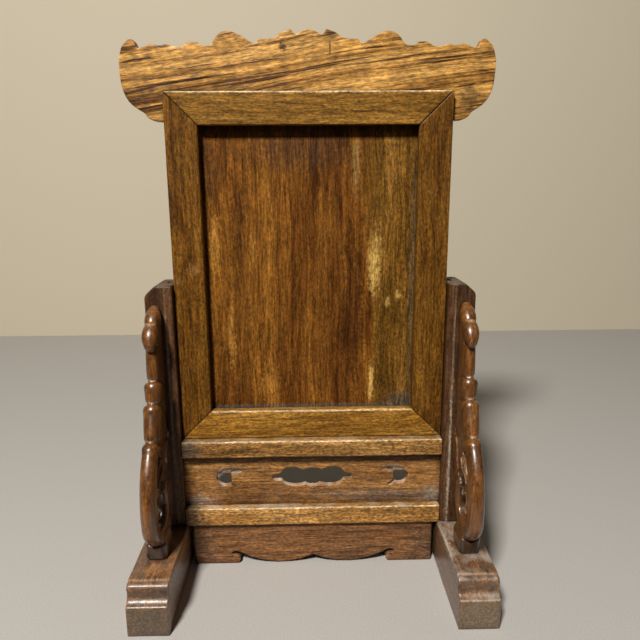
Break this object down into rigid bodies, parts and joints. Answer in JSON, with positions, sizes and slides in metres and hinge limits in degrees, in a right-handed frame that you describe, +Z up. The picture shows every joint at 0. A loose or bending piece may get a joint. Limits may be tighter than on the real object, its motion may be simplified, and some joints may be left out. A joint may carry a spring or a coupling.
{
  "type": "table screen",
  "caption": "Framed wooden table screen with a lobed crest, lifting out of a footed stand with scrolled standing spandrels, a pierced waist panel and a lobed apron.",
  "frame": {"origin": "middle of the underside of the two feet, on the table", "axes": "+Z up, +X to the right seen from the front, the front faces -Y"},
  "size_m": [0.3108, 0.222, 0.4828],
  "materials": {
    "foot_wood": "brown hardwood, waxed",
    "post_wood": "dark brown hardwood, waxed",
    "spandrel_wood": "carved hardwood, polished",
    "stretcher_wood": "golden brown hardwood, waxed",
    "waist_wood": "red-brown hardwood, waxed",
    "apron_wood": "red-brown hardwood, waxed",
    "frame_wood": "golden brown hardwood, waxed",
    "panel_wood": "red-brown board, waxed",
    "side_board_wood": "olive brown board, waxed",
    "crest_wood": "amber hardwood, waxed",
    "dowel_wood": "plain hardwood"
  },
  "bodies": {
    "stand": {"left_foot": "foot_wood", "right_foot": "foot_wood", "left_post": "post_wood", "right_post": "post_wood", "left_front_spandrel": "spandrel_wood", "right_front_spandrel": "spandrel_wood", "left_rear_spandrel": "spandrel_wood", "right_rear_spandrel": "spandrel_wood", "upper_stretcher": "stretcher_wood", "lower_stretcher": "stretcher_wood", "waist_panel": "waist_wood", "front_apron": "apron_wood", "rear_apron": "apron_wood"},
    "screen": {"frame_left_stile": "frame_wood", "frame_right_stile": "frame_wood", "frame_bottom_rail": "frame_wood", "frame_top_rail": "frame_wood", "main_board": "panel_wood", "side_board": "side_board_wood", "crest_board": "crest_wood", "crest_dowels": "dowel_wood"}
  },
  "joints": [
    {"name": "screen_lift", "type": "slide", "parent": "stand", "child": "screen", "axis": [0, 0, 1], "range_m": [0, 0.15]}
  ]
}
